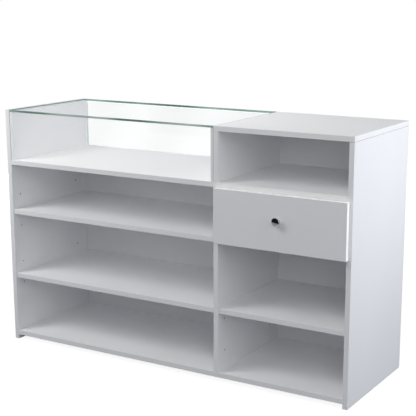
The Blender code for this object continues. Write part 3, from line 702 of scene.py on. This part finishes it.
# %% Knob
FACE_LEAN = 14  # degrees
RIM_ROUND = 4.2 * MM
HEAD_THICK = 6.5 * MM
UNDER_ROUND = 0.7 * MM
UNDER_STEPS = 5
NECK = 5.8 * MM
NECK_START = 94  # degrees; at 90 it would start at the rim
FOOT = 8.5 * MM
FOOT_THICK = 3.0 * MM
FOOT_CHAMFER = 0.3 * MM

low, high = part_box("drawer_knob")
middle = (low + high) / 2
radius = (high.x - low.x) / 2
length = high.y - low.y
lean = math.radians(FACE_LEAN)
rim_middle = radius - RIM_ROUND
face_radius = (rim_middle + RIM_ROUND * math.sin(lean)) / math.sin(lean)
rim_height = length - face_radius + (face_radius - RIM_ROUND) * math.cos(lean)
under = length - HEAD_THICK
shoulder = FOOT_THICK / 2
profile = arc((0, length - face_radius), (face_radius, face_radius), 90, 90 - FACE_LEAN)
profile += arc((rim_middle, rim_height), (RIM_ROUND, RIM_ROUND), 90 - FACE_LEAN, 0)[1:]
lip = (radius - UNDER_ROUND, under + UNDER_ROUND)
profile += arc(lip, (UNDER_ROUND, UNDER_ROUND), 0, -90, UNDER_STEPS)
profile += arc((radius, FOOT_THICK), (radius - NECK, under - FOOT_THICK), NECK_START, 180)
profile += [(FOOT - FOOT_CHAMFER, shoulder), (FOOT, shoulder - FOOT_CHAMFER), (FOOT, 0), (0, 0)]
knob_mesh = turned("chrome_knob", profile)
knob_mesh.materials.append(chrome)
place = (middle.x, high.y, middle.z)
knob = set_down("chrome_knob", knob_mesh, place, (0, -1, 0), "drawer")
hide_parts("drawer_knob")
print(f"knob {2 * radius / MM:.0f} mm across, {len(knob_mesh.polygons)} faces")

# %% [markdown]
# ## Hardware finishes
#
# Shelf pins, axles and screws are steel with bright zinc: bluish, with a soft cloudy gleam. The runners
# are rolled steel under white epoxy powder, which sets with a fine orange peel. The rollers are natural
# nylon, and the bumpers behind the drawer front are soft clear dots. Each could have a tree of its own,
# but all four are one noise pattern that drives colour, shine and relief, so one function makes them.

# %% Cloudy finishes
CLOUD_HEIGHT = 0.1 * MM


def cloudy(name, colours, patch, shine, bump, fixed):
    """A finish whose colour, shine and relief follow one noise pattern, with other inputs fixed."""
    material, tree = new_material(name)
    place = add(tree, "TexCoord").outputs["Object"]
    clouds = add(tree, "TexNoise", {"Vector": place, "Scale": 1 / patch, "Detail": 3.0})
    pale, dark = [linear(colour) for colour in colours]
    colour = add(tree, "Mix", {SHARE: clouds, COLOUR_A: pale, COLOUR_B: dark}, data_type="RGBA")
    limits = {"To Min": shine[0], "To Max": shine[1]}
    gloss = add(tree, "MapRange", {"Value": clouds, **MOST_NOISE, **limits})
    relief = add(tree, "Bump", {"Strength": bump, "Distance": CLOUD_HEIGHT, "Height": clouds})
    inputs = {"Base Color": colour, "Roughness": gloss, "Normal": relief, **fixed}
    add(tree, "OutputMaterial", {"Surface": add(tree, "BsdfPrincipled", inputs)})
    return material


print("relief of a cloudy finish", CLOUD_HEIGHT / MM, "mm")

# %% Hardware dressed
# bright zinc: a bluish metal with soft, cloudy lights
zinc = cloudy(
    "bright_zinc_plating",
    colours=("#C2C7CE", "#9AA0A9"),
    patch=1.5 * MM,
    shine=(0.24, 0.4),
    bump=0.1,
    fixed={"Metallic": 1.0},
)
# epoxy powder: a warm white with a satin, dimpled shine
epoxy = cloudy(
    "white_epoxy_powder",
    colours=("#ECECEA", "#E2E2E0"),
    patch=1.2 * MM,
    shine=(0.32, 0.46),
    bump=0.25,
    fixed={"IOR": 1.5},
)
# nylon: a dull, waxy white
nylon = cloudy(
    "natural_nylon",
    colours=("#E0DED6", "#CFCDC4"),
    patch=2.0 * MM,
    shine=(0.42, 0.55),
    bump=0.1,
    fixed={"IOR": 1.53},
)
# soft plastic: milky, and light shows through it
soft_dot = cloudy(
    "clear_soft_dot",
    colours=("#E6E7E5", "#D8D9D6"),
    patch=1.0 * MM,
    shine=(0.25, 0.35),
    bump=0.05,
    fixed={"IOR": 1.45, "Transmission Weight": 0.6},
)
dress(zinc, "knob_screw", *[name for name in nodes if "_pin_" in name or "_axle_" in name])
dress(epoxy, *[name for name in nodes if "_runner_" in name])
dress(nylon, *[f"{end}_roller_{side}" for end in ("front", "rear") for side in ("left", "right")])
dress(soft_dot, "drawer_bumper_left", "drawer_bumper_right")
hardware = (zinc, epoxy, nylon, soft_dot)
print("hardware finishes on", sum(node.data.materials[0] in hardware for node in nodes.values()))

# %% [markdown]
# ## Screws
#
# Cross-head screws hold the runners and the drawer box together. Only their heads show, so only those are
# made. A cross could be painted on, but a cut one catches the light, so a head is turned and its cross is
# cut by two tapered bars. One mesh serves every screw of a kind, so a change to it changes them all.

# %% Cross recess
HEAD_STEPS = 36  # with these no edge of the turned head runs into a corner of the cross
CROSS_SLIM = 4  # a bar of the cross is this many times as long as it is wide
CROSS_TAPER = (0.6, 0.6, 1.0)


def crossed(name, profile, reach, depth):
    """A turned zinc head whose top is cut by a cross recess."""
    head = bpy.data.objects.new(name, turned(name, profile, HEAD_STEPS))
    work = bmesh.new()
    for across, along in ((reach, reach / CROSS_SLIM), (reach / CROSS_SLIM, reach)):
        bar = bmesh.ops.create_cube(work, size=1.0)["verts"]
        bmesh.ops.scale(work, vec=(2 * across, 2 * along, 2 * depth), verts=bar)
        bmesh.ops.scale(work, vec=CROSS_TAPER, verts=[vert for vert in bar if vert.co.z < 0])
        bmesh.ops.translate(work, vec=(0, 0, profile[0][1]), verts=bar)
    bars = bpy.data.meshes.new(name + "_cross")
    work.to_mesh(bars)
    work.free()
    cross = bpy.data.objects.new(name + "_cross", bars)
    for item in (head, cross):
        scene.collection.objects.link(item)
    cut = head.modifiers.new("cross", "BOOLEAN")
    cut.object = cross
    cut.solver = "EXACT"
    cut.use_self = True
    graph = bpy.context.evaluated_depsgraph_get()
    mesh = bpy.data.meshes.new_from_object(head.evaluated_get(graph))
    for item in (head, cross):
        bpy.data.objects.remove(item)
    mesh.name = name
    mesh.materials.clear()
    mesh.materials.append(zinc)
    return mesh


print("a screw head is turned in", HEAD_STEPS, "steps")

# %% Screw heads
DOME_FLAT = 0.4  # share of a rounded head's radius that is flat on top
DOME_STEPS = 8
SUNK_CHAMFER = 0.1 * MM
SUNK_WAIST = 0.55  # share of a countersunk head's radius that is left at its foot


def domed(radius, height):
    """The profile of a rounded head that stands on a surface."""
    flat = DOME_FLAT * radius
    return [(0, height), *arc((flat, 0), (radius - flat, height), 90, 0, DOME_STEPS), (0, 0)]


def sunk(radius, depth):
    """The profile of a countersunk head, level with a surface."""
    rim = [(0, 0), (radius - SUNK_CHAMFER, 0), (radius, -SUNK_CHAMFER)]
    return rim + [(SUNK_WAIST * radius, -depth), (0, -depth)]


pan_head = crossed("pan_head", domed(radius=3.6 * MM, height=2.2 * MM), reach=1.9 * MM, depth=1.2 * MM)
low_head = crossed("low_head", domed(radius=3.4 * MM, height=1.1 * MM), reach=1.8 * MM, depth=0.7 * MM)
small_profile = sunk(radius=2.0 * MM, depth=0.9 * MM)
small_sunk_head = crossed("small_sunk_head", small_profile, reach=1.2 * MM, depth=0.6 * MM)
sunk_head = crossed("sunk_head", sunk(radius=3.6 * MM, depth=2.0 * MM), reach=2.0 * MM, depth=1.2 * MM)
heads = (pan_head, low_head, small_sunk_head, sunk_head)
print("screw heads:", [len(mesh.polygons) for mesh in heads], "faces")

# %% [markdown]
# Each cabinet runner is screwed to its wall through three holes, with heads sunk level so that the
# drawer's rear rollers pass them. The drawer runners are screwed up into the drawer sides from below. The
# screws could be placed one by one, but they follow the runners, so loops take their places from the
# solids' boxes.

# %% Runner screws
CABINET_SCREWS = (72 * MM, 225 * MM, 378 * MM)
CABINET_SCREW_DROP = 4.5 * MM
RUNNER_STEEL = 1.2 * MM
DRAWER_SCREWS = (60 * MM, 220 * MM, 380 * MM)
DRAWER_SCREW_INSET = 5 * MM

for side, inward in (("left", 1), ("right", -1)):
    low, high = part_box(f"cabinet_runner_{side}")
    web = low.x + RUNNER_STEEL if inward > 0 else high.x - RUNNER_STEEL
    for count, deep in enumerate(CABINET_SCREWS, 1):
        name = f"cabinet_runner_screw_{side}_{count}"
        place = (web, low.y + deep, high.z - CABINET_SCREW_DROP)
        set_down(name, small_sunk_head, place, (inward, 0, 0), "carcass")
    low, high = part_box(f"drawer_runner_{side}")
    flange = high.x - DRAWER_SCREW_INSET if inward > 0 else low.x + DRAWER_SCREW_INSET
    for count, deep in enumerate(DRAWER_SCREWS, 1):
        name = f"drawer_runner_screw_{side}_{count}"
        place = (flange, low.y + deep, low.z)
        set_down(name, low_head, place, (0, 0, -1), "drawer")

# %% [markdown]
# The drawer front is held from inside the box by four screws, and the box sides are screwed to its front
# and back. They could be set at fixed heights, but as shares of the boards that they join, their places
# move with those.

# %% Drawer screws
FRONT_SCREWS = ((0.14, 0.30), (0.14, 0.80), (0.86, 0.30), (0.86, 0.80))
SIDE_SCREW_RISES = (0.40, 0.82)
SUNK_PROUD = 0.05 * MM

low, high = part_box("drawer_box_front")
for count, (part, rise) in enumerate(FRONT_SCREWS, 1):
    place = (low.x + part * (high.x - low.x), high.y, low.z + rise * (high.z - low.z))
    set_down(f"drawer_front_screw_{count}", pan_head, place, (0, 1, 0), "drawer")
for side, outward in (("left", -1), ("right", 1)):
    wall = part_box(f"drawer_side_{side}")
    outer = (wall[0].x if outward < 0 else wall[1].x) + outward * SUNK_PROUD
    for end in ("front", "back"):
        low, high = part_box(f"drawer_box_{end}")
        for count, rise in enumerate(SIDE_SCREW_RISES, 1):
            name = f"drawer_side_screw_{side}_{end}_{count}"
            place = (outer, (low.y + high.y) / 2, low.z + rise * (high.z - low.z))
            set_down(name, sunk_head, place, (outward, 0, 0), "drawer")

# %% [markdown]
# ## Furniture cams
#
# The outside of the carcass shows no screws, so its boards are drawn together by cams: round zinc
# castings let into the undersides, each turned by a screwdriver through its cross. They show only from
# below. A whole cam could be let into a drilled board, but only its face is ever seen, so that lies on
# the board.

# %% Cams
CAM_RADIUS = 7.4 * MM
CAM_PROUD = 0.3 * MM
CAM_CHAMFER = 0.2 * MM
CAM_INSET = 34 * MM
CAM_DEPTHS = (60 * MM, 410 * MM)
LEFT_WALLS = {
    "bottom_panel": "left_side_panel",
    "deck_panel": "left_side_panel",
    "top_panel": "upper_divider",
}

cam_rim = [(CAM_RADIUS - CAM_CHAMFER, CAM_PROUD), (CAM_RADIUS, CAM_PROUD - CAM_CHAMFER), (CAM_RADIUS, 0)]
cam_face = crossed("cam_face", [(0, CAM_PROUD), *cam_rim, (0, 0)], reach=4.5 * MM, depth=0.25 * MM)
for board, left_wall in LEFT_WALLS.items():
    low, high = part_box(board)
    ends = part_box(left_wall)[1].x + CAM_INSET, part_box("right_side_panel")[0].x - CAM_INSET
    for side, x in zip(("left", "right"), ends):
        for count, deep in enumerate(CAM_DEPTHS, 1):
            name = f"cam_{board}_{side}_{count}"
            place = (x, low.y + deep, low.z)
            set_down(name, cam_face, place, (0, 0, -1), "carcass")
